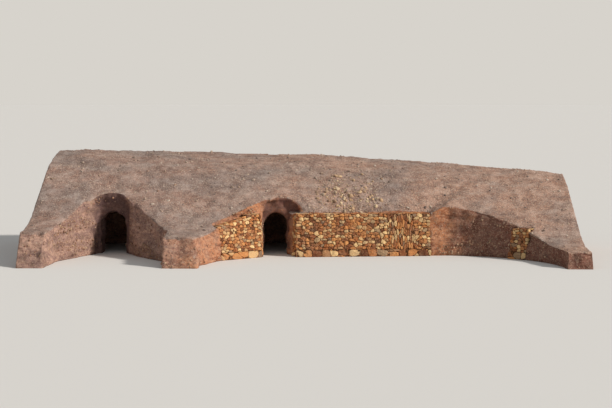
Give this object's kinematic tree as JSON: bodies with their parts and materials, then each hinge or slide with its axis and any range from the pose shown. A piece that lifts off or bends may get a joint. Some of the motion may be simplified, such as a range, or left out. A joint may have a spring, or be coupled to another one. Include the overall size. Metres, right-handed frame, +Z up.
{
  "type": "troglodyte dwelling",
  "caption": "Dwelling dug into an earth bank: vaulted rooms behind arched mouths, a flared approach and an open court faced with dry-stone walls.",
  "frame": {"origin": "middle of the bounding box in x and y, on the flat base", "axes": "+X along the front, from the west room's end to the court's east end; +Y into the hill; +Z up"},
  "size_m": [20.6, 10.2783, 3.8226],
  "materials": {
    "bank_earth": "matte",
    "dug_earth": "matte",
    "dry_stone": "matte",
    "footing_stone": "matte",
    "top_stone": "matte"
  },
  "bodies": {
    "root": {"west_end_bank": "bank_earth", "west_left_flank": "dug_earth", "west_right_flank": "dug_earth", "west_headwall": "dug_earth", "west_room_vault": "bank_earth", "west_room_apse_left": "bank_earth", "west_room_apse_right": "bank_earth", "middle_spur": "bank_earth", "middle_pier": "bank_earth", "court_left_bank": "dug_earth", "court_door_bank": "dug_earth", "main_headwall": "dug_earth", "main_room_vault": "bank_earth", "main_room_apse_left": "bank_earth", "main_room_apse_right": "bank_earth", "court_back_bank": "bank_earth", "court_corner_bank": "dug_earth", "east_end_bank": "bank_earth", "left_wall_footing": "footing_stone", "left_wall_body": "dry_stone", "left_wall_top_course": "top_stone", "left_door_pier": "dry_stone", "right_door_pier": "dry_stone", "long_wall_footing": "footing_stone", "long_wall_west_bay": "dry_stone", "long_wall_middle_bay": "dry_stone", "long_wall_east_bay": "dry_stone", "long_wall_west_top_course": "top_stone", "long_wall_middle_top_course": "top_stone", "long_wall_east_top_course": "top_stone", "stub_wall_footing": "footing_stone", "stub_wall_body": "dry_stone", "stub_wall_top_course": "top_stone"}
  },
  "joints": []
}
